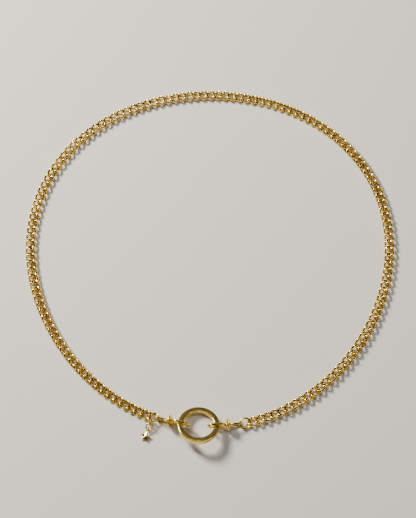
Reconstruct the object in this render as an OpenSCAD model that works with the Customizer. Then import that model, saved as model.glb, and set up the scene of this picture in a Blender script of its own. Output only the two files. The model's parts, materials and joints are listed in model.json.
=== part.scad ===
// Curb-link chain necklace with a hinged ring clasp and a star charm.
// The loop lies flat: +Z is up, +Y points to the back of the neck, and the clasp is at the front.

/* [Chain] */
// Distance from one link to the next along the chain
link_pitch = 3; // [2.6:0.1:3.8]
// Width across one link
link_width = 4.1; // [3.6:0.1:5]
// Thickness of the wire of a link
link_wire = 0.9; // [0.7:0.05:1]
// Play between the wires of two hooked links
link_play = 0.14; // [0.1:0.02:0.24]
// Tilt of the wire at both ends of a link, so that the chain lies flat
link_tilt = 45; // [40:1:50]
// Links in one section of the chain
section_links = 3; // [2:1:4]
// Sections on the left of the back section
left_sections = 22; // [18:1:23]
// Sections on the right of the back section
right_sections = 23; // [19:1:24]
// How far the heading of the loop sways from that of a circle, in degrees
loop_sway = 2.85; // [0:0.15:4.5]

/* [Ring clasp] */
// Outer diameter of the ring
ring_od = 16; // [14:0.5:20]
// Radial width of the ring
ring_width = 2; // [1.7:0.1:2.4]
// Height of the ring
ring_height = 2; // [1.6:0.1:2.2]
// Chamfer along the edges of the ring
ring_chamfer = 0.2; // [0.1:0.05:0.3]
// Tilt of the ring, front edge up
ring_tilt = 18; // [0:1:22]
// How far the connectors cross the ring behind its middle
ring_offset = 0.6; // [0.3:0.1:1]
// Angle of the hinge pin, from the right side of the ring
pin_angle = -8; // [-10:1:-6]
// Angle of the seam where the gate closes
seam_angle = 75; // [65:1:85]
// Slant of the seam against the ring's run
seam_slant = 40; // [34:1:46]
// Diameter of the hinge pin
pin_d = 0.8; // [0.6:0.05:0.9]
// Running gap round the gate and its tongue
gate_gap = 0.08; // [0.06:0.01:0.12]

/* [Connectors] */
// Wire of the long loop that goes round the ring
hook_wire = 0.9; // [0.8:0.05:1.1]
// Play between the ring and the strands of the long loop
hook_play = 0.35; // [0.25:0.05:0.5]
// How far the long loop reaches inside the ring's middle line
hook_reach = 3.4; // [3.2:0.1:3.8]
// Diameter of the disc collar
collar_d = 4.8; // [4:0.1:5.4]
// Thickness of the disc collar
collar_t = 0.7; // [0.5:0.05:0.9]
// Distance from the ring's middle line to the collar
collar_at = 4.3; // [4:0.1:5]
// Wire of the small loop that takes the jump ring
eye_wire = 0.8; // [0.65:0.05:0.9]
// Width between the strands of the small loop, middle to middle
eye_width = 2.2; // [2.1:0.1:2.6]
// Distance from the ring's middle line to the end of the small loop
eye_at = 10.2; // [9.6:0.1:11.5]

/* [Jump rings] */
// Outer diameter of a jump ring
jump_od = 4.8; // [4.5:0.1:5.6]
// Wire of a jump ring
jump_wire = 0.75; // [0.6:0.05:0.85]
// Roll of a jump ring about the chain's run
jump_roll = 20; // [15:1:26]

/* [Charm] */
// Outer diameter of the link next to the jump ring
charm_link_od = 3.15; // [3:0.05:3.3]
// Outer diameter of the ring that holds the star
charm_ring_od = 2.95; // [2.8:0.05:3.2]
// Wire of the charm's link and ring
charm_wire = 0.55; // [0.45:0.05:0.6]
// Outer diameter of the star's bail
bail_od = 1.9; // [1.8:0.05:2.1]
// Wire of the star's bail
bail_wire = 0.45; // [0.4:0.05:0.5]
// Diameter round the points of the star
star_d = 4.2; // [3.4:0.1:4.6]
// Thickness of the star
star_t = 0.7; // [0.5:0.05:0.8]

/* [Hidden] */

$fn = 64;
gold = [0.85, 0.66, 0.25];
pale_gold = [0.9, 0.75, 0.38];
play = 0.2;             // between any other two hooked wires
core_trim = 0.01;       // how much thinner a straight core is than the arcs that it joins
core_lap = 0.06;        // how far a core enters an arc
core_gap = 0.005;       // how far an arc stops short of the tip of a link

function section_name(side, i) = str("chain_", side, i < 10 ? "_0" : "_", i);
function unit(v) = v / norm(v);
// placement whose X, Y and Z axes and origin are given
function placed(x, y, z, o) =
  [[x[0], y[0], z[0], o[0]], [x[1], y[1], z[1], o[1]], [x[2], y[2], z[2], o[2]], [0, 0, 0, 1]];
// placement at o whose X axis is run and whose Y axis is level
function along(run, o) =
  let (across = unit([-run[1], run[0], 0])) placed(run, across, cross(run, across), o);

// --- one curb link: four arcs and two straight bars on a saddle ---
half_len = (link_pitch + link_wire + link_play) / 2;
half_wide = (link_width - link_wire) / 2;
twist = tan(link_tilt) / half_len;
side_tilt = atan(twist * half_wide);
bar_x = (cos(side_tilt) * half_len - cos(link_tilt) * half_wide)
  / (cos(side_tilt) + twist * half_wide * (sin(link_tilt) + sin(side_tilt)));
bar_half = bar_x / cos(side_tilt);
tip_point = [half_len, 0, 0];
tip_run = [0, cos(link_tilt), sin(link_tilt)];
bar_point = [bar_x, half_wide, twist * half_wide * bar_x];
bar_run = [-cos(side_tilt), 0, -sin(side_tilt)];
arc_turn = acos(tip_run * bar_run);
arc_normal = unit(cross(tip_run, bar_run));
arc_inward = cross(arc_normal, tip_run);
arc_r = (bar_point - tip_point) * tip_run / sin(arc_turn);
arc_centre = tip_point + arc_r * arc_inward;
link_rise = arc_centre[2] + arc_r * norm([arc_inward[2], tip_run[2]]);
chain_z = link_rise + link_wire / 2;

// --- ring clasp ---
ring_mid = (ring_od - ring_width) / 2;
knuckle_r = ring_width / 2;
ring_z = ring_od / 2 * sin(ring_tilt) + ring_height / 2 * cos(ring_tilt);
cross_half = sqrt(ring_mid * ring_mid - ring_offset * ring_offset);
cross_z = ring_z - ring_offset * sin(ring_tilt);
pin_at = ring_mid * [cos(pin_angle), sin(pin_angle), 0];
seam_at = ring_mid * [cos(seam_angle), sin(seam_angle), 0];
pin_fit = 0.01;         // round the pin in the ring
tongue_fit = 0.04;      // round the pin in the gate's tongue
knuckle_inset = 0.06;   // of the round end within the ring's width
tongue_t = ring_height * 0.35;
slot_t = tongue_t + 2 * gate_gap;
slot_half_angle = 2 * asin((knuckle_r + gate_gap) / 2 / ring_mid);
spring_t = 0.15;
spring_height = ring_height * 0.3;
spring_sweep = 26;
spring_gap = 0.06;      // round the spring in its pocket
spring_short = 1;       // how far the spring stops short of the slot, in degrees
seam_reach = 15;        // how far either side of the seam its cut can reach, in degrees

// --- connectors ---
hook_half = ring_height / 2 + hook_play + hook_wire / 2;
eye_half = eye_width / 2;
shoulder = 0.75;        // from the collar to the end of each wire loop
swell_r = 1.1;
swell_len = 1.5;
swell_tip_r = 0.5;
collar_rim = (collar_d - collar_t) / 2;
lift = 0.03;            // of a connector above the surface
// the connector slopes down until its collar or its small loop is just above the surface
collar_slope = asin((cross_z - lift - collar_t / 2) / norm([collar_at, collar_rim]))
  - atan2(collar_rim, collar_at);
eye_slope = asin((cross_z - lift - eye_half - eye_wire / 2) / (eye_at - eye_half));
slope = min(collar_slope, eye_slope);
eye_z = cross_z - eye_at * sin(slope);

// --- jump rings ---
jump_r = (jump_od - jump_wire) / 2;
eye_to_ring = jump_r - (jump_wire + eye_wire) / 2 - play;
ring_to_link = jump_r - (jump_wire + link_wire) / 2 - play;
jump_span = eye_to_ring + ring_to_link;
jump_rise = asin((eye_z - chain_z) / jump_span);

// --- the loop: a closed curve whose heading sways three times in its turn ---
tip_past = half_len - link_pitch / 2;
eye_run = eye_at * cos(slope);
jump_run = jump_span * cos(jump_rise);
clasp_run = 2 * (cross_half + eye_run + jump_run + tip_past);
loop_len = section_links * (left_sections + right_sections + 1) * link_pitch + clasp_run;
loop_r = loop_len / (2 * PI);
sway = loop_sway * PI / 180;
sway_0 = 1 - sway * sway / 4;
sway_1 = -sway / 2;
sway_2 = sway * sway / 8;
function turned(s) = 360 * s / loop_len;
function heading(s) = turned(s) - loop_sway * sin(3 * turned(s));
// the integrals of the heading's cosine and sine, as the first terms of their Bessel series
function loop_x(q) = loop_r * (sway_0 * sin(q) + sway_1 * (sin(4 * q) / 4 - sin(2 * q) / 2)
  + sway_2 * (sin(7 * q) / 7 + sin(5 * q) / 5));
function loop_y(q) = -loop_r * (sway_0 * (1 - cos(q))
  + sway_1 * ((1 - cos(4 * q)) / 4 + (1 - cos(2 * q)) / 2)
  + sway_2 * ((1 - cos(7 * q)) / 7 - (1 - cos(5 * q)) / 5));
function at(s) = [loop_x(turned(s)), loop_y(turned(s)), 0];

// places along the loop, in millimetres clockwise from its back
left_tip = -(left_sections + 0.5) * section_links * link_pitch - tip_past;
right_tip = (right_sections + 0.5) * section_links * link_pitch + tip_past;
left_eye = left_tip - jump_run;
right_eye = right_tip + jump_run;
left_cross = left_eye - eye_run;
right_cross = right_eye + eye_run;

// the ring's own frame has X to the right, along the line through both connectors
ring_x = unit(at(right_cross) - at(left_cross));
ring_y = [-ring_x[1], ring_x[0], 0];
ring_centre = (at(right_cross) + at(left_cross)) / 2 - ring_offset * cos(ring_tilt) * ring_y
  + [0, 0, ring_z];
ring_front = ring_centre[1] - ring_od / 2 * cos(ring_tilt) - ring_height / 2 * sin(ring_tilt);
// brings the middle of the whole necklace to the origin
loop_shift = -(ring_front + link_width / 2) / 2;

// --- charm ---
charm_link_r = (charm_link_od - charm_wire) / 2;
charm_ring_r = (charm_ring_od - charm_wire) / 2;
bail_r = (bail_od - bail_wire) / 2;
// how far each piece slopes down from the level
link_drop = 20;
ring_drop = 12;
star_drop = 6;
link_hang = charm_link_r - (jump_wire + charm_wire) / 2 - play;
ring_hang = charm_link_r - charm_wire - play + charm_ring_r;
bail_hang = bail_r - (charm_wire + bail_wire) / 2 - play;
star_points = 5;
star_waist = 0.5;       // radius between two points, as a share of the radius at a point

module in_frame() { translate([0, loop_shift, 0]) children(); }

module torus(r, wire) { rotate_extrude() translate([r, 0]) circle(d = wire); }

module half_torus(r, wire, from) {
  rotate([90, 0, 0]) rotate_extrude(angle = 180, start = from) translate([r, 0]) circle(d = wire);
}

// an oval of wire in the XZ plane; x0 and x1 are the centres of its round ends
module wire_oval(x0, x1, half, wire) {
  translate([x0, 0, 0]) half_torus(half, wire, 90);
  translate([x1, 0, 0]) half_torus(half, wire, 270);
  for (z = [-half, half])
    translate([x0 - core_lap, 0, z]) rotate([0, 90, 0])
      cylinder(d = wire - core_trim, h = x1 - x0 + 2 * core_lap);
}

// --- the chain ---
module link_core(half) {
  cylinder(d = link_wire - core_trim, h = 2 * (half + core_lap), center = true);
}

module link_corner() {
  gap_angle = core_gap / arc_r * 180 / PI;
  multmatrix(placed(-arc_inward, tip_run, arc_normal, arc_centre))
    rotate([0, 0, gap_angle]) rotate_extrude(angle = arc_turn - gap_angle)
      translate([arc_r, 0]) circle(d = link_wire);
}

module curb_link() {
  for (half_turn = [0, 180]) rotate([0, 0, half_turn]) {
    link_corner();
    rotate([180, 0, 0]) link_corner();
    translate(tip_point) rotate([link_tilt - 90, 0, 0]) link_core(0);
    translate([0, half_wide, 0]) rotate([0, 90 - side_tilt, 0]) link_core(bar_half);
  }
}

// section i of the chain, counted clockwise from the back section
module chain_section(i) {
  color(gold) in_frame() for (j = [0:section_links - 1]) {
    s = (section_links * i + j - (section_links - 1) / 2) * link_pitch;
    translate(at(s) + [0, 0, chain_z]) rotate([0, 0, -heading(s)]) curb_link();
  }
}

// --- jump rings ---
// stands children in a jump ring's frame, with X from the last link to the connector
module at_jump(tip, eye) {
  run = cos(jump_rise) * unit(at(eye) - at(tip)) + [0, 0, sin(jump_rise)];
  in_frame() multmatrix(along(run, at(tip) + [0, 0, chain_z] + ring_to_link * run))
    rotate([-jump_roll, 0, 0]) children();
}

module left_jump_ring() { color(gold) at_jump(left_tip, left_eye) torus(jump_r, jump_wire); }
module right_jump_ring() { color(gold) at_jump(right_tip, right_eye) torus(jump_r, jump_wire); }

// --- connectors ---
// a barrel along Z that swells in the middle, with a disc collar whose rim is round
module barrel() {
  rotate_extrude() polygon(concat([[0, -swell_len]],
    [for (t = [0:10:180]) [swell_tip_r + (swell_r - swell_tip_r) * pow(sin(t), 1.5), -swell_len * cos(t)]],
    [[0, swell_len]]));
  cylinder(r = collar_rim, h = collar_t, center = true);
  torus(collar_rim, collar_t - core_trim);
}

module connector() {
  wire_oval(hook_half - hook_reach, collar_at - collar_t / 2 - shoulder - hook_half, hook_half, hook_wire);
  wire_oval(collar_at + collar_t / 2 + shoulder + eye_half, eye_at - eye_half, eye_half, eye_wire);
  translate([collar_at, 0, 0]) rotate([0, 90, 0]) barrel();
}

// stands children in a connector's frame, with X from the ring to the jump ring
module at_connector(crossing, eye) {
  run = cos(slope) * unit(at(eye) - at(crossing)) - [0, 0, sin(slope)];
  in_frame() multmatrix(along(run, at(crossing) + [0, 0, cross_z])) children();
}

module left_connector() { color(gold) at_connector(left_cross, left_eye) connector(); }
module right_connector() { color(gold) at_connector(right_cross, right_eye) connector(); }

// --- ring clasp ---
module in_ring() {
  in_frame() multmatrix(placed(ring_x, ring_y, [0, 0, 1], ring_centre)) rotate([-ring_tilt, 0, 0])
    children();
}

module ring_arc(from, sweep, height) {
  w = ring_width / 2;
  h = height / 2;
  c = min(ring_chamfer, h / 2);
  rotate([0, 0, from]) rotate_extrude(angle = sweep) translate([ring_mid, 0])
    polygon([[-w + c, -h], [w - c, -h], [w, -h + c], [w, h - c],
      [w - c, h], [-w + c, h], [-w, h - c], [-w, -h + c]]);
}

// the round end of the ring or of the tongue, with the ring's chamfer
module knuckle(height) {
  r = knuckle_r - knuckle_inset;
  h = height / 2;
  rotate_extrude() polygon([[0, -h], [r - ring_chamfer, -h], [r, -h + ring_chamfer],
    [r, h - ring_chamfer], [r - ring_chamfer, h], [0, h]]);
}

// a block on the ring's side (1) or the gate's side (-1) of the seam, moved by a gap towards the gate
module seam_block(side, gap) {
  translate(seam_at) rotate([0, 0, seam_angle - 90 + seam_slant])
    translate([0, side * ring_width - gap, 0])
      cube([3 * ring_width, 2 * ring_width, 2 * ring_height], center = true);
}

// the flat spring, or with a gap round it, its pocket, which opens into the tongue's slot
module spring_arc(gap, reach) {
  rotate([0, 0, pin_angle - slot_half_angle - spring_sweep]) rotate_extrude(angle = spring_sweep + reach)
    translate([ring_mid, 0]) square([spring_t + 2 * gap, spring_height + 2 * gap], center = true);
}

module ring_body() {
  tail = seam_angle - seam_reach;
  color(pale_gold) in_ring() difference() {
    union() {
      difference() {
        ring_arc(tail, 360 + pin_angle - tail, ring_height);
        seam_block(-1, 0);
      }
      translate(pin_at) knuckle(ring_height);
    }
    translate(pin_at) cylinder(r = knuckle_r + gate_gap, h = slot_t, center = true);
    translate(pin_at) cylinder(r = pin_d / 2 + pin_fit, h = 2 * ring_height, center = true);
    spring_arc(spring_gap, slot_half_angle / 2);
  }
}

module ring_gate() {
  color(pale_gold) in_ring() difference() {
    union() {
      difference() {
        ring_arc(pin_angle, seam_angle - pin_angle + seam_reach, ring_height);
        seam_block(1, gate_gap);
        translate(pin_at) cylinder(r = knuckle_r + gate_gap, h = 2 * ring_height, center = true);
      }
      ring_arc(pin_angle, 2 * slot_half_angle, tongue_t);
      translate(pin_at) knuckle(tongue_t);
    }
    translate(pin_at) cylinder(r = pin_d / 2 + tongue_fit, h = 2 * ring_height, center = true);
  }
}

module gate_hinge_pin() {
  color(gold) in_ring() translate(pin_at) cylinder(d = pin_d, h = ring_height, center = true);
}

module gate_spring() { color("silver") in_ring() spring_arc(0, -spring_short); }

// --- charm ---
// stands children at the middle of the charm's link, with Y away from the star
module at_charm_link() {
  at_jump(left_tip, left_eye) translate([0, -jump_r, 0]) rotate([link_drop + jump_roll, 0, 0])
    translate([0, -link_hang, 0]) children();
}

module at_charm_ring() {
  at_charm_link() rotate([ring_drop - link_drop, 0, 0]) translate([0, -ring_hang, 0]) children();
}

module charm_link() { color(gold) at_charm_link() rotate([0, 90, 0]) torus(charm_link_r, charm_wire); }
module charm_ring() { color(gold) at_charm_ring() torus(charm_ring_r, charm_wire); }

module star_charm() {
  color(gold) at_charm_ring() translate([0, -charm_ring_r, 0]) rotate([star_drop - ring_drop, 0, 0])
    translate([0, -bail_hang, 0]) {
      rotate([0, 90, 0]) torus(bail_r, bail_wire);
      translate([0, -bail_r - star_d / 2, -star_t / 2]) linear_extrude(star_t)
        polygon([for (i = [0:2 * star_points - 1])
          star_d / 2 * (i % 2 == 0 ? 1 : star_waist)
            * [sin(180 * i / star_points), cos(180 * i / star_points)]]);
    }
}

chain_section(0);  // chain_back
for (i = [1:left_sections])
  chain_section(-i);
for (i = [1:right_sections])
  chain_section(i);
left_jump_ring();
right_jump_ring();
left_connector();
right_connector();
ring_body();
ring_gate();
gate_hinge_pin();
gate_spring();
charm_link();
charm_ring();
star_charm();
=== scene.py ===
"""A gold curb-chain necklace with a hinged ring clasp and a star charm, lying on a pale floor."""
import json
import math

import bpy
import numpy as np
from mathutils import Matrix


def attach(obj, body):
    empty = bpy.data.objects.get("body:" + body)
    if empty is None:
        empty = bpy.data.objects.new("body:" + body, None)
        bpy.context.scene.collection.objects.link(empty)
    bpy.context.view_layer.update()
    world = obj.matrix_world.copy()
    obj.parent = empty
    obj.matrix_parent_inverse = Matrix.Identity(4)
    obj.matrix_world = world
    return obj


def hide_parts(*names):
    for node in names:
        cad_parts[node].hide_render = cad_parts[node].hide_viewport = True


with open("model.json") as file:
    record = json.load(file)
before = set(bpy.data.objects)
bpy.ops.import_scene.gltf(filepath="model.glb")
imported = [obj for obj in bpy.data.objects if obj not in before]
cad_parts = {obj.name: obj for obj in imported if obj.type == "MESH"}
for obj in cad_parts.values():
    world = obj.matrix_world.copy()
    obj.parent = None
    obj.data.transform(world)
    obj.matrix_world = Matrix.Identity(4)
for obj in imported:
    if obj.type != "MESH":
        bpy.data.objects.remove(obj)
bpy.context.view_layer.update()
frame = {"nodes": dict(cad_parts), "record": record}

# --- sizes, in millimetres and degrees: those of the CAD part ---
MM = 0.001
LINK_PITCH = 3.0
LINK_WIDTH = 4.1
LINK_WIRE = 0.9
LINK_PLAY = 0.14
LINK_TILT = 45
SECTION_LINKS = 3
LEFT_SECTIONS = sum(n.startswith("chain_left") for n in frame["nodes"])
RIGHT_SECTIONS = sum(n.startswith("chain_right") for n in frame["nodes"])
LOOP_SWAY = 2.85
RING_OD = 16.0
RING_WIDTH = 2.0
RING_HEIGHT = 2.0
RING_ROUND = 0.22
RING_TILT = 18
RING_OFFSET = 0.6
PIN_ANGLE = -8
PIN_D = 0.8
SEAM_ANGLE = 75
SEAM_SLANT = 40
SEAM_REACH = 15
GATE_GAP = 0.08
KNUCKLE_INSET = 0.06
HOOK_WIRE = 0.9
HOOK_PLAY = 0.35
HOOK_REACH = 3.4
COLLAR_D = 4.8
COLLAR_T = 0.7
COLLAR_AT = 4.3
EYE_WIRE = 0.8
EYE_WIDTH = 2.2
EYE_AT = 10.2
SHOULDER = 0.75
SWELL_R = 1.1
SWELL_LEN = 1.5
SWELL_TIP_R = 0.5
LIFT = 0.03
JUMP_OD = 4.8
JUMP_WIRE = 0.75
JUMP_ROLL = 20
PLAY = 0.2
CHARM_LINK_OD = 3.15
CHARM_RING_OD = 2.95
CHARM_WIRE = 0.55
BAIL_OD = 1.9
BAIL_WIRE = 0.45
STAR_D = 4.2
STAR_T = 0.7
STAR_WAIST = 0.5
LINK_DROP = 20
RING_DROP = 12
STAR_DROP = 6


def sin(a):
    return math.sin(math.radians(a))


def cos(a):
    return math.cos(math.radians(a))


def unit(v):
    v = np.array(v, float)
    return v / np.linalg.norm(v)


# --- placements: 4 x 4 matrices in millimetres ---
def placed(x, y, z, o):
    m = np.eye(4)
    m[:3, 0], m[:3, 1], m[:3, 2], m[:3, 3] = x, y, z, o
    return m


def moved(x=0.0, y=0.0, z=0.0):
    return placed((1, 0, 0), (0, 1, 0), (0, 0, 1), (x, y, z))


def turned_x(a):
    return placed((1, 0, 0), (0, cos(a), sin(a)), (0, -sin(a), cos(a)), (0, 0, 0))


def turned_y(a):
    return placed((cos(a), 0, -sin(a)), (0, 1, 0), (sin(a), 0, cos(a)), (0, 0, 0))


def turned_z(a):
    return placed((cos(a), sin(a), 0), (-sin(a), cos(a), 0), (0, 0, 1), (0, 0, 0))


def along(run, o):
    across = unit([-run[1], run[0], 0])
    return placed(run, across, np.cross(run, across), o)


def applied(m, points):
    return np.asarray(points, float) @ m[:3, :3].T + m[:3, 3]


# --- the link's centre line: four arcs and two bars on a saddle ---
HALF_LEN = (LINK_PITCH + LINK_WIRE + LINK_PLAY) / 2
HALF_WIDE = (LINK_WIDTH - LINK_WIRE) / 2
TWIST = math.tan(math.radians(LINK_TILT)) / HALF_LEN
SIDE_TILT = math.degrees(math.atan(TWIST * HALF_WIDE))
BAR_X = (cos(SIDE_TILT) * HALF_LEN - cos(LINK_TILT) * HALF_WIDE) / (
    cos(SIDE_TILT) + TWIST * HALF_WIDE * (sin(LINK_TILT) + sin(SIDE_TILT)))
TIP = np.array([HALF_LEN, 0, 0])
TIP_RUN = np.array([0, cos(LINK_TILT), sin(LINK_TILT)])
BAR = np.array([BAR_X, HALF_WIDE, TWIST * HALF_WIDE * BAR_X])
BAR_RUN = np.array([-cos(SIDE_TILT), 0, -sin(SIDE_TILT)])
ARC_TURN = math.degrees(math.acos(TIP_RUN @ BAR_RUN))
ARC_NORMAL = unit(np.cross(TIP_RUN, BAR_RUN))
ARC_INWARD = np.cross(ARC_NORMAL, TIP_RUN)
ARC_R = (BAR - TIP) @ TIP_RUN / sin(ARC_TURN)
ARC_CENTRE = TIP + ARC_R * ARC_INWARD
CHAIN_Z = ARC_CENTRE[2] + ARC_R * math.hypot(ARC_INWARD[2], TIP_RUN[2]) + LINK_WIRE / 2


def link_line(steps=14, bar_steps=4):
    """The closed centre line of one link."""
    turn = np.linspace(0, ARC_TURN, steps, endpoint=False)
    corner = np.array([ARC_CENTRE + ARC_R * (TIP_RUN * sin(a) - ARC_INWARD * cos(a)) for a in turn])
    bar = np.array([BAR + 2 * BAR_X / cos(SIDE_TILT) * BAR_RUN * t
                    for t in np.linspace(0, 1, bar_steps, endpoint=False)])
    end = np.vstack([[BAR], corner[:0:-1]]) * (-1, 1, -1)
    half = np.vstack([corner, bar, end])
    return np.vstack([half, half * (-1, -1, 1)])


# --- the hardware between the ends of the chain ---
RING_MID = (RING_OD - RING_WIDTH) / 2
KNUCKLE_R = RING_WIDTH / 2
RING_Z = RING_OD / 2 * sin(RING_TILT) + RING_HEIGHT / 2 * cos(RING_TILT)
CROSS_HALF = math.sqrt(RING_MID ** 2 - RING_OFFSET ** 2)
CROSS_Z = RING_Z - RING_OFFSET * sin(RING_TILT)
HOOK_HALF = RING_HEIGHT / 2 + HOOK_PLAY + HOOK_WIRE / 2
EYE_HALF = EYE_WIDTH / 2
COLLAR_RIM = (COLLAR_D - COLLAR_T) / 2
COLLAR_SLOPE = math.degrees(
    math.asin((CROSS_Z - LIFT - COLLAR_T / 2) / math.hypot(COLLAR_AT, COLLAR_RIM))
    - math.atan2(COLLAR_RIM, COLLAR_AT))
EYE_SLOPE = math.degrees(math.asin((CROSS_Z - LIFT - EYE_HALF - EYE_WIRE / 2) / (EYE_AT - EYE_HALF)))
SLOPE = min(COLLAR_SLOPE, EYE_SLOPE)
EYE_Z = CROSS_Z - EYE_AT * sin(SLOPE)
JUMP_R = (JUMP_OD - JUMP_WIRE) / 2
RING_TO_LINK = JUMP_R - (JUMP_WIRE + LINK_WIRE) / 2 - PLAY
JUMP_SPAN = JUMP_R - (JUMP_WIRE + EYE_WIRE) / 2 - PLAY + RING_TO_LINK
JUMP_RISE = math.degrees(math.asin((EYE_Z - CHAIN_Z) / JUMP_SPAN))

# --- the loop: a closed curve whose heading sways three times in its turn ---
TIP_PAST = HALF_LEN - LINK_PITCH / 2
EYE_RUN = EYE_AT * cos(SLOPE)
JUMP_RUN = JUMP_SPAN * cos(JUMP_RISE)
CLASP_RUN = 2 * (CROSS_HALF + EYE_RUN + JUMP_RUN + TIP_PAST)
SECTION_LEN = SECTION_LINKS * LINK_PITCH
LOOP_LEN = SECTION_LEN * (LEFT_SECTIONS + RIGHT_SECTIONS + 1) + CLASP_RUN
LOOP_R = LOOP_LEN / (2 * math.pi)
SWAY = math.radians(LOOP_SWAY)
SWAY_0, SWAY_1, SWAY_2 = 1 - SWAY ** 2 / 4, -SWAY / 2, SWAY ** 2 / 8


def heading(s):
    q = 360 * s / LOOP_LEN
    return q - LOOP_SWAY * sin(3 * q)


def at(s, z=0.0):
    q = 360 * s / LOOP_LEN
    x = (SWAY_0 * sin(q) + SWAY_1 * (sin(4 * q) / 4 - sin(2 * q) / 2)
         + SWAY_2 * (sin(7 * q) / 7 + sin(5 * q) / 5))
    y = (SWAY_0 * (1 - cos(q)) + SWAY_1 * ((1 - cos(4 * q)) / 4 + (1 - cos(2 * q)) / 2)
         + SWAY_2 * ((1 - cos(7 * q)) / 7 - (1 - cos(5 * q)) / 5))
    return np.array([LOOP_R * x, -LOOP_R * y, z])


LEFT_TIP = -(LEFT_SECTIONS + 0.5) * SECTION_LEN - TIP_PAST
RIGHT_TIP = (RIGHT_SECTIONS + 0.5) * SECTION_LEN + TIP_PAST
LEFT_EYE, RIGHT_EYE = LEFT_TIP - JUMP_RUN, RIGHT_TIP + JUMP_RUN
LEFT_CROSS, RIGHT_CROSS = LEFT_EYE - EYE_RUN, RIGHT_EYE + EYE_RUN
RING_X = unit(at(RIGHT_CROSS) - at(LEFT_CROSS))
RING_Y = np.array([-RING_X[1], RING_X[0], 0])
RING_CENTRE = (at(RIGHT_CROSS) + at(LEFT_CROSS)) / 2 - RING_OFFSET * cos(RING_TILT) * RING_Y + (0, 0, RING_Z)
RING_FRONT = RING_CENTRE[1] - RING_OD / 2 * cos(RING_TILT) - RING_HEIGHT / 2 * sin(RING_TILT)
IN_FRAME = moved(y=-(RING_FRONT + LINK_WIDTH / 2) / 2)
IN_RING = IN_FRAME @ placed(RING_X, RING_Y, (0, 0, 1), RING_CENTRE) @ turned_x(-RING_TILT)


def at_jump(tip, eye):
    run = cos(JUMP_RISE) * unit(at(eye) - at(tip)) + (0, 0, sin(JUMP_RISE))
    return IN_FRAME @ along(run, at(tip, CHAIN_Z) + RING_TO_LINK * run) @ turned_x(-JUMP_ROLL)


def at_connector(crossing, eye):
    run = cos(SLOPE) * unit(at(eye) - at(crossing)) - (0, 0, sin(SLOPE))
    return IN_FRAME @ along(run, at(crossing, CROSS_Z))


# --- the charm ---
CHARM_LINK_R = (CHARM_LINK_OD - CHARM_WIRE) / 2
CHARM_RING_R = (CHARM_RING_OD - CHARM_WIRE) / 2
BAIL_R = (BAIL_OD - BAIL_WIRE) / 2
AT_CHARM_LINK = (at_jump(LEFT_TIP, LEFT_EYE) @ moved(y=-JUMP_R) @ turned_x(LINK_DROP + JUMP_ROLL)
                 @ moved(y=-(CHARM_LINK_R - (JUMP_WIRE + CHARM_WIRE) / 2 - PLAY)))
AT_CHARM_RING = (AT_CHARM_LINK @ turned_x(RING_DROP - LINK_DROP)
                 @ moved(y=-(CHARM_LINK_R - CHARM_WIRE - PLAY + CHARM_RING_R)))
AT_STAR = (AT_CHARM_RING @ moved(y=-CHARM_RING_R) @ turned_x(STAR_DROP - RING_DROP)
           @ moved(y=-(BAIL_R - (CHARM_WIRE + BAIL_WIRE) / 2 - PLAY)))


# --- camera, at the picture's viewing angle ---
CAMERA_RISE = 67.4
CAMERA_AWAY = 0.625
VIEW_HIGH = 18.89
AIM = np.array([-0.0009, 0.0012, 0.0])


def make_camera():
    data = bpy.data.cameras.new("camera")
    data.sensor_fit = "VERTICAL"
    data.angle = math.radians(VIEW_HIGH)
    data.clip_start, data.clip_end = 0.01, 20
    camera = bpy.data.objects.new("camera", data)
    camera.location = AIM + CAMERA_AWAY * np.array([0, -cos(CAMERA_RISE), sin(CAMERA_RISE)])
    camera.rotation_euler = (math.radians(90 - CAMERA_RISE), 0, 0)
    bpy.context.scene.collection.objects.link(camera)
    bpy.context.scene.camera = camera


make_camera()


# --- mesh tools: meshes are made in millimetres and shrunk to metres when they become objects ---
def tube(points, radius, sides=16, closed=True):
    """A round wire along a line of points, as vertices and faces."""
    p = np.asarray(points, float)
    n = len(p)
    if closed:
        tangents = np.roll(p, -1, 0) - np.roll(p, 1, 0)
    else:
        tangents = np.gradient(p, axis=0)
    tangents /= np.linalg.norm(tangents, axis=1)[:, None]
    up = unit(np.cross(tangents[0], (0.3, 0.5, 0.8)))
    ups = [up]
    for t in tangents[1:]:
        up = unit(up - t * (up @ t))
        ups.append(up)
    twist = 0.0
    if closed:
        last = unit(up - tangents[0] * (up @ tangents[0]))
        twist = math.atan2(np.cross(last, ups[0]) @ tangents[0], last @ ups[0])
    verts = []
    for k in range(n):
        side = np.cross(tangents[k], ups[k])
        a = 2 * math.pi * np.arange(sides) / sides + twist * k / n
        verts.append(p[k] + radius * (np.outer(np.cos(a), ups[k]) + np.outer(np.sin(a), side)))
    faces = []
    for k in range(n if closed else n - 1):
        a, b = k * sides, (k + 1) % n * sides
        for j in range(sides):
            m = (j + 1) % sides
            faces.append((a + j, a + m, b + m, b + j))
    if not closed:
        faces.append(tuple(range(sides))[::-1])
        faces.append(tuple((n - 1) * sides + j for j in range(sides)))
    return np.vstack(verts), faces


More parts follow.
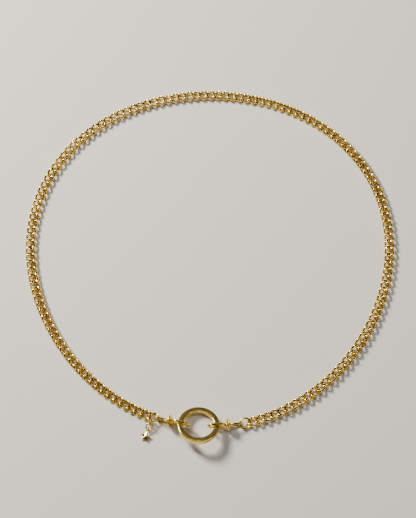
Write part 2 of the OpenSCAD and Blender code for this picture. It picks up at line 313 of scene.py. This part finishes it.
def revolved(outline, steps=96, start=0.0, sweep=360.0):
    """An outline of (radius, height) turned about Z; radii of 0 close it on the axis."""
    whole = sweep >= 360
    columns = steps if whole else steps + 1
    verts, index = [], []
    for k in range(columns):
        a = start + sweep * k / steps
        row = []
        for j, (r, h) in enumerate(outline):
            if r == 0 and k:
                row.append(index[0][j])
                continue
            row.append(len(verts))
            verts.append((r * cos(a), r * sin(a), h))
        index.append(row)
    count = len(outline)
    closed = outline[0][0] > 0
    faces = []
    for k in range(steps):
        a, b = index[k], index[(k + 1) % columns]
        for j in range(count if closed else count - 1):
            m = (j + 1) % count
            ring = [a[j], b[j], b[m], a[m]]
            face = [v for i, v in enumerate(ring) if v not in ring[:i]]
            if len(face) > 2:
                faces.append(tuple(face))
    if not whole:
        faces.append(tuple(index[0]))
        faces.append(tuple(index[-1])[::-1])
    return np.array(verts, float), faces


def circle(r, steps=72, gap=0.0):
    """Points of a circle in the XY plane, or of one that stays open by a gap in degrees."""
    if gap:
        return [(r * cos(a), r * sin(a), 0) for a in np.linspace(gap / 2, 360 - gap / 2, steps)]
    return [(r * cos(a), r * sin(a), 0) for a in np.linspace(0, 360, steps, endpoint=False)]


def oval(x0, x1, half, steps=22):
    """The centre line of a wire loop in the XZ plane with round ends at x0 and x1."""
    turn = np.linspace(-90, 90, steps)
    right = [(x1 + half * cos(a), 0, half * sin(a)) for a in turn]
    left = [(x0 - half * cos(a), 0, -half * sin(a)) for a in turn]
    straight = np.linspace(0, 1, 8)[1:-1]
    top = [(x1 + (x0 - x1) * t, 0, half) for t in straight]
    return right + top + left + [(-x + x0 + x1, 0, -z) for x, _, z in top]


def mesh_object(name, parts, matrix=None, scale=MM, smooth=True):
    """One object from several (vertices, faces) parts. Its matrix is in millimetres."""
    verts, faces = [], []
    for v, f in parts:
        base = sum(len(x) for x in verts)
        verts.append(np.asarray(v, float) * scale)
        faces += [tuple(i + base for i in face) for face in f]
    mesh = bpy.data.meshes.new(name)
    mesh.from_pydata(np.vstack(verts).tolist(), [], faces)
    mesh.validate()
    mesh.polygons.foreach_set("use_smooth", [smooth] * len(mesh.polygons))
    obj = bpy.data.objects.new(name, mesh)
    bpy.context.scene.collection.objects.link(obj)
    if matrix is not None:
        set_place(obj, matrix)
    return obj


def set_place(obj, matrix):
    m = matrix.copy()
    m[:3, 3] *= MM
    obj.matrix_world = Matrix(m.tolist())


def baked(obj):
    """The object with its modifiers applied."""
    bpy.context.view_layer.update()
    mesh = bpy.data.meshes.new_from_object(obj.evaluated_get(bpy.context.evaluated_depsgraph_get()))
    obj.modifiers.clear()
    old, obj.data = obj.data, mesh
    bpy.data.meshes.remove(old)
    return obj


def combined(obj, other, operation):
    """obj with the other one cut away or added, by a boolean of closed meshes; the other is used up."""
    boolean = obj.modifiers.new("boolean", "BOOLEAN")
    boolean.operation = operation
    boolean.solver = "MANIFOLD"
    boolean.object = other
    baked(obj)
    bpy.data.objects.remove(other)
    return obj


def melted(name, parts, voxel, rounds):
    """Parts melted into one smooth solid, as a casting is. Made in millimetres, shrunk at the end."""
    obj = mesh_object(name, parts, scale=1.0)
    remesh = obj.modifiers.new("remesh", "REMESH")
    remesh.mode = "VOXEL"
    remesh.voxel_size = voxel
    remesh.use_smooth_shade = True
    smooth = obj.modifiers.new("smooth", "SMOOTH")
    smooth.factor = 0.5
    smooth.iterations = rounds
    return shrunk(baked(obj))


def shrunk(obj):
    """The mesh in metres."""
    obj.data.transform(Matrix.Scale(MM, 4))
    return obj


def edges_kept(obj, angle=32):
    """Smooth shading that keeps edges sharper than the angle."""
    obj.data.polygons.foreach_set("use_smooth", [True] * len(obj.data.polygons))
    obj.data.set_sharp_from_angle(angle=math.radians(angle))
    return obj


# --- materials ---
def node(tree, kind, **values):
    made = tree.nodes.new(kind)
    for key, value in values.items():
        setattr(made, key, value)
    return made


def gold(name, light, deep, roughness, spread, bump, turned=False):
    """Polished gold plate: slow colour drift, cloudy smears, and fine hairlines; turned adds lathe lines."""
    material = bpy.data.materials.new(name)
    material.use_nodes = True
    tree = material.node_tree
    shader = tree.nodes["Principled BSDF"]
    shader.inputs["Metallic"].default_value = 1.0
    shader.inputs["Specular IOR Level"].default_value = 0.5
    place = node(tree, "ShaderNodeTexCoord")

    def noise(scale, detail, source="Object"):
        made = node(tree, "ShaderNodeTexNoise")
        made.inputs["Scale"].default_value = scale
        made.inputs["Detail"].default_value = detail
        tree.links.new(made.inputs["Vector"], place.outputs[source])
        return made.outputs["Fac"]

    def ranged(value, low, high, lowest=0.3, highest=0.7):
        made = node(tree, "ShaderNodeMapRange")
        made.inputs["From Min"].default_value = lowest
        made.inputs["From Max"].default_value = highest
        made.inputs["To Min"].default_value = low
        made.inputs["To Max"].default_value = high
        tree.links.new(made.inputs["Value"], value)
        return made.outputs["Result"]

    tint = node(tree, "ShaderNodeMix", data_type="RGBA")
    tint.inputs["A"].default_value = (*deep, 1)
    tint.inputs["B"].default_value = (*light, 1)
    tree.links.new(tint.inputs["Factor"], ranged(noise(150, 3), 0, 1))
    tree.links.new(shader.inputs["Base Color"], tint.outputs["Result"])
    smear = ranged(noise(900, 5), roughness - spread, roughness + spread)
    tree.links.new(shader.inputs["Roughness"], smear)
    stretch = node(tree, "ShaderNodeMapping")
    stretch.inputs["Scale"].default_value = (1, 14, 1)
    stretch.inputs["Rotation"].default_value = (0.4, 0.2, 0.7)
    tree.links.new(stretch.inputs["Vector"], place.outputs["Object"])
    hairline = node(tree, "ShaderNodeTexNoise")
    hairline.inputs["Scale"].default_value = 3500
    hairline.inputs["Detail"].default_value = 4
    tree.links.new(hairline.inputs["Vector"], stretch.outputs["Vector"])
    height = hairline.outputs["Fac"]
    if turned:
        parts = node(tree, "ShaderNodeSeparateXYZ")
        tree.links.new(parts.inputs["Vector"], place.outputs["Object"])
        flat = node(tree, "ShaderNodeCombineXYZ")
        tree.links.new(flat.inputs["X"], parts.outputs["X"])
        tree.links.new(flat.inputs["Y"], parts.outputs["Y"])
        radius = node(tree, "ShaderNodeVectorMath", operation="LENGTH")
        tree.links.new(radius.inputs[0], flat.outputs["Vector"])
        lines = node(tree, "ShaderNodeTexNoise", noise_dimensions="1D")
        lines.inputs["Scale"].default_value = 22000
        lines.inputs["Detail"].default_value = 3
        tree.links.new(lines.inputs["W"], radius.outputs["Value"])
        both = node(tree, "ShaderNodeMath", operation="ADD")
        tree.links.new(both.inputs[0], lines.outputs["Fac"])
        tree.links.new(both.inputs[1], height)
        height = both.outputs["Value"]
    relief = node(tree, "ShaderNodeBump")
    relief.inputs["Strength"].default_value = bump
    relief.inputs["Distance"].default_value = 0.000004
    tree.links.new(relief.inputs["Height"], height)
    tree.links.new(shader.inputs["Normal"], relief.outputs["Normal"])
    return material


CHAIN_GOLD = gold("chain_gold", (0.90, 0.67, 0.15), (0.76, 0.52, 0.08), 0.15, 0.04, 0.2)
CAST_GOLD = gold("cast_gold", (0.91, 0.69, 0.17), (0.80, 0.56, 0.10), 0.13, 0.04, 0.15)
RING_FACE = gold("ring_face", (0.80, 0.61, 0.17), (0.76, 0.57, 0.15), 0.24, 0.02, 0.2, turned=True)
RING_SIDE = gold("ring_side", (0.88, 0.66, 0.17), (0.80, 0.57, 0.12), 0.12, 0.02, 0.15)
CHARM_GOLD = gold("charm_gold", (0.88, 0.65, 0.16), (0.74, 0.50, 0.09), 0.18, 0.05, 0.3)
SPRING_STEEL = gold("spring_steel", (0.60, 0.60, 0.62), (0.50, 0.50, 0.53), 0.32, 0.06, 0.30)


def finished(obj, material, body, slot, *nodes):
    """Gives a piece its material and its place in the assembly."""
    obj.data.materials.clear()
    obj.data.materials.append(material)
    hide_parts(*nodes)
    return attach(obj, body)


# --- the chain: each section's links are smooth swept wires ---
LINK = tube(link_line(), LINK_WIRE / 2, sides=20)

BODY_OF = {node: body for body, nodes in frame["record"]["behaviour"]["bodies"].items() for node in nodes}


def chain_section(name, i):
    parts = []
    for j in range(SECTION_LINKS):
        s = (SECTION_LINKS * i + j - (SECTION_LINKS - 1) / 2) * LINK_PITCH
        place = IN_FRAME @ moved(*at(s, CHAIN_Z)) @ turned_z(-heading(s))
        parts.append((applied(place, LINK[0]), LINK[1]))
    finished(mesh_object("links" + name[len("chain"):], parts), CHAIN_GOLD, BODY_OF[name], "chain_gold", name)


chain_section("chain_back", 0)
for i in range(1, LEFT_SECTIONS + 1):
    chain_section(f"chain_left_{i:02d}", -i)
for i in range(1, RIGHT_SECTIONS + 1):
    chain_section(f"chain_right_{i:02d}", i)


# --- jump rings: round wire with a hairline joint ---
JOINT_GAP = 1.2


def wire_ring(name, r, wire, place, material, body, slot, joint_at):
    ring = tube(circle(r, 97, JOINT_GAP), wire / 2, sides=24, closed=False)
    turned = applied(turned_z(joint_at), ring[0])
    finished(edges_kept(mesh_object(name, [(turned, ring[1])], place), 50), material, body, slot, body)


wire_ring("left_jump_wire", JUMP_R, JUMP_WIRE, at_jump(LEFT_TIP, LEFT_EYE),
          CHAIN_GOLD, "left_jump_ring", "chain_gold", 60)
wire_ring("right_jump_wire", JUMP_R, JUMP_WIRE, at_jump(RIGHT_TIP, RIGHT_EYE),
          CHAIN_GOLD, "right_jump_ring", "chain_gold", 115)


# --- connectors: one casting each ---
HUB_FLARE = 1.0      # how much thicker the collar is at its hub
HUB_FADE = 0.35      # how soon it thins, in millimetres


def barrel():
    swell = [(SWELL_TIP_R + (SWELL_R - SWELL_TIP_R) * sin(t) ** 1.5, -SWELL_LEN * cos(t))
             for t in range(0, 181, 6)]
    rim = [(COLLAR_RIM + COLLAR_T / 2 * cos(t), COLLAR_T / 2 * sin(t)) for t in range(-90, 91, 10)]
    flare = [(r, COLLAR_T / 2 * (1 + HUB_FLARE * math.exp((SWELL_R - r) / HUB_FADE)))
             for r in np.linspace(SWELL_R - 0.2, COLLAR_RIM - 0.1, 16)]
    collar = [(0, -flare[0][1])] + [(r, -h) for r, h in flare] + rim + flare[::-1] + [(0, flare[0][1])]
    return [revolved([(0, -SWELL_LEN)] + swell + [(0, SWELL_LEN)]), revolved(collar)]


def connector(name, crossing, eye):
    hook = oval(HOOK_HALF - HOOK_REACH, COLLAR_AT - COLLAR_T / 2 - SHOULDER - HOOK_HALF, HOOK_HALF)
    loop = oval(COLLAR_AT + COLLAR_T / 2 + SHOULDER + EYE_HALF, EYE_AT - EYE_HALF, EYE_HALF)
    turn = moved(x=COLLAR_AT) @ turned_y(90)
    parts = [tube(hook, HOOK_WIRE / 2, 24), tube(loop, EYE_WIRE / 2, 24)]
    parts += [(applied(turn, v), f) for v, f in barrel()]
    cast = melted(name, parts, voxel=0.055, rounds=6)
    set_place(cast, at_connector(crossing, eye))
    body = name.replace("_casting", "_connector")
    finished(cast, CAST_GOLD, body, "connector_gold", body)


connector("left_casting", LEFT_CROSS, LEFT_EYE)
connector("right_casting", RIGHT_CROSS, RIGHT_EYE)


# --- ring clasp ---
PIN_AT = (RING_MID * cos(PIN_ANGLE), RING_MID * sin(PIN_ANGLE), 0)
SEAM_AT = (RING_MID * cos(SEAM_ANGLE), RING_MID * sin(SEAM_ANGLE), 0)
TONGUE_T = RING_HEIGHT * 0.35
SLOT_T = TONGUE_T + 2 * GATE_GAP
SLOT_HALF_ANGLE = 2 * math.degrees(math.asin((KNUCKLE_R + GATE_GAP) / 2 / RING_MID))


def rounded_box(x0, x1, height, r, corner=4):
    """A rectangle with rounded corners, as an outline of (radius, height)."""
    h = height / 2
    out = []
    for cx, cy, start in ((x1 - r, h - r, 0), (x0 + r, h - r, 90),
                          (x0 + r, r - h, 180), (x1 - r, r - h, 270)):
        out += [(cx + r * cos(start + a), cy + r * sin(start + a)) for a in np.linspace(0, 90, corner + 1)]
    return out


def ring_arc(start, sweep, height):
    r = min(RING_ROUND, height / 3)
    outline = rounded_box(RING_MID - RING_WIDTH / 2, RING_MID + RING_WIDTH / 2, height, r)
    return mesh_object("arc", [revolved(outline, max(8, int(sweep / 1.5)), start, sweep)], scale=1.0)


def disc(r, height, round_edge=0.0, steps=64):
    h = height / 2
    if round_edge:
        edge = [(r - round_edge + round_edge * cos(a), h - round_edge + round_edge * sin(a))
                for a in np.linspace(0, 90, 5)]
    else:
        edge = [(r, h)]
    outline = [(0, -h)] + [(x, -y) for x, y in edge[::-1]] + edge + [(0, h)]
    verts, faces = revolved(outline, steps)
    return mesh_object("disc", [(verts + PIN_AT, faces)], scale=1.0)


def seam_block(side, gap):
    corners = np.array([(x, y, z) for x in (-1, 1) for y in (-1, 1) for z in (-1, 1)], float)
    size = (1.5 * RING_WIDTH, RING_WIDTH, RING_HEIGHT)
    place = moved(*SEAM_AT) @ turned_z(SEAM_ANGLE - 90 + SEAM_SLANT) @ moved(y=side * RING_WIDTH - gap)
    faces = [(0, 1, 3, 2), (4, 6, 7, 5), (0, 4, 5, 1), (2, 3, 7, 6), (0, 2, 6, 4), (1, 5, 7, 3)]
    return mesh_object("block", [(applied(place, corners * size), faces)], scale=1.0)


def ring_piece(obj, name, body, cad_node):
    obj.name = name
    obj.data.name = name
    edges_kept(shrunk(obj), 28)
    set_place(obj, IN_RING)
    finished(obj, RING_FACE, body, "ring_gold", cad_node)
    obj.data.materials.append(RING_SIDE)
    for polygon in obj.data.polygons:
        polygon.material_index = 0 if abs(polygon.normal.z) > 0.95 else 1


def ring_body():
    tail = SEAM_ANGLE - SEAM_REACH
    body = ring_arc(tail, 360 + PIN_ANGLE - tail, RING_HEIGHT)
    combined(body, seam_block(-1, 0), "DIFFERENCE")
    combined(body, disc(KNUCKLE_R - KNUCKLE_INSET, RING_HEIGHT, RING_ROUND), "UNION")
    combined(body, disc(KNUCKLE_R + GATE_GAP, SLOT_T), "DIFFERENCE")
    combined(body, disc(PIN_D / 2 + 0.02, 2 * RING_HEIGHT), "DIFFERENCE")
    ring_piece(body, "ring_shank", "ring", "ring_body")


def ring_gate():
    gate = ring_arc(PIN_ANGLE, SEAM_ANGLE - PIN_ANGLE + SEAM_REACH, RING_HEIGHT)
    combined(gate, seam_block(1, GATE_GAP), "DIFFERENCE")
    combined(gate, disc(KNUCKLE_R + GATE_GAP, 2 * RING_HEIGHT), "DIFFERENCE")
    combined(gate, ring_arc(PIN_ANGLE, 2 * SLOT_HALF_ANGLE, TONGUE_T), "UNION")
    combined(gate, disc(KNUCKLE_R - KNUCKLE_INSET, TONGUE_T), "UNION")
    combined(gate, disc(PIN_D / 2 + 0.04, 2 * RING_HEIGHT), "DIFFERENCE")
    ring_piece(gate, "gate_bar", "ring_gate", "ring_gate")


ring_body()
ring_gate()
ring_piece(disc(PIN_D / 2, RING_HEIGHT, 0.06, 48), "hinge_pin", "ring", "gate_hinge_pin")
frame["nodes"]["gate_spring"].data.materials.clear()
frame["nodes"]["gate_spring"].data.materials.append(SPRING_STEEL)


# --- charm ---
wire_ring("charm_link_wire", CHARM_LINK_R, CHARM_WIRE, AT_CHARM_LINK @ turned_y(90),
          CHARM_GOLD, "charm_link", "charm_gold", 200)
wire_ring("charm_ring_wire", CHARM_RING_R, CHARM_WIRE, AT_CHARM_RING,
          CHARM_GOLD, "charm_ring", "charm_gold", 20)


def star_charm():
    points = 5
    outline = []
    for i in range(2 * points):
        r = STAR_D / 2 * (1 if i % 2 == 0 else STAR_WAIST)
        outline.append((r * sin(180 * i / points), r * cos(180 * i / points)))
    n = len(outline)
    edge, crown = 0.2 * STAR_T, 0.62 * STAR_T
    verts = [(x, y, edge) for x, y in outline] + [(x, y, -edge) for x, y in outline]
    verts += [(0, 0, crown), (0, 0, -crown)]
    faces = []
    for i in range(n):
        m = (i + 1) % n
        faces += [(2 * n, m, i), (2 * n + 1, n + i, n + m), (i, m, n + m, n + i)]
    plate = (applied(moved(y=-BAIL_R - STAR_D / 2), verts), faces)
    bail = tube(applied(turned_y(90), circle(BAIL_R, 64)), BAIL_WIRE / 2, 20)
    star = melted("star", [plate, bail], voxel=0.045, rounds=5)
    set_place(star, AT_STAR)
    finished(star, CHARM_GOLD, "star_charm", "charm_gold", "star_charm")


star_charm()


# --- floor and light ---
def floor_material():
    material = bpy.data.materials.new("floor")
    material.use_nodes = True
    tree = material.node_tree
    shader = tree.nodes["Principled BSDF"]
    shader.inputs["Base Color"].default_value = (0.70, 0.67, 0.63, 1)
    shader.inputs["Roughness"].default_value = 0.85
    return material


def make_floor(half=1.5):
    verts = [(-half, -half, 0), (half, -half, 0), (half, half, 0), (-half, half, 0)]
    floor = mesh_object("floor", [(verts, [(0, 1, 2, 3)])], scale=1.0)
    floor.data.materials.append(floor_material())


def softbox(name, place, size, power, colour):
    data = bpy.data.lights.new(name, "AREA")
    data.shape = "RECTANGLE"
    data.size, data.size_y = size
    data.energy = power
    data.color = colour
    light = bpy.data.objects.new(name, data)
    bpy.context.scene.collection.objects.link(light)
    to_centre = -np.array(place, float)
    z = unit(-to_centre)
    x = unit(np.cross((0, 1, 0.001), z))
    light.matrix_world = Matrix(placed(x, np.cross(z, x), z, place).tolist())


def make_world():
    world = bpy.data.worlds.new("studio")
    bpy.context.scene.world = world
    world.use_nodes = True
    tree = world.node_tree
    back = tree.nodes["Background"]
    place = node(tree, "ShaderNodeTexCoord")
    parts = node(tree, "ShaderNodeSeparateXYZ")
    ramp = node(tree, "ShaderNodeValToRGB")
    ramp.color_ramp.elements[0].position = 0.5
    ramp.color_ramp.elements[0].color = (0.60, 0.57, 0.53, 1)
    ramp.color_ramp.elements[1].position = 0.75
    ramp.color_ramp.elements[1].color = (0.07, 0.068, 0.065, 1)
    half = node(tree, "ShaderNodeMath", operation="MULTIPLY_ADD")
    half.inputs[1].default_value = 0.5
    half.inputs[2].default_value = 0.5
    tree.links.new(parts.inputs["Vector"], place.outputs["Generated"])
    tree.links.new(half.inputs[0], parts.outputs["Z"])
    tree.links.new(ramp.inputs["Fac"], half.outputs["Value"])
    tree.links.new(back.inputs["Color"], ramp.outputs["Color"])
    back.inputs["Strength"].default_value = 0.4


make_floor()
softbox("key", (-0.55, 0.45, 0.52), (0.22, 0.22), 19.0, (1.0, 0.94, 0.84))
softbox("fill", (0.60, -0.40, 0.45), (0.30, 0.30), 1.2, (0.97, 0.98, 1.0))
softbox("top", (-0.05, 0.30, 0.90), (0.40, 0.12), 2.2, (1.0, 0.98, 0.95))
make_world()
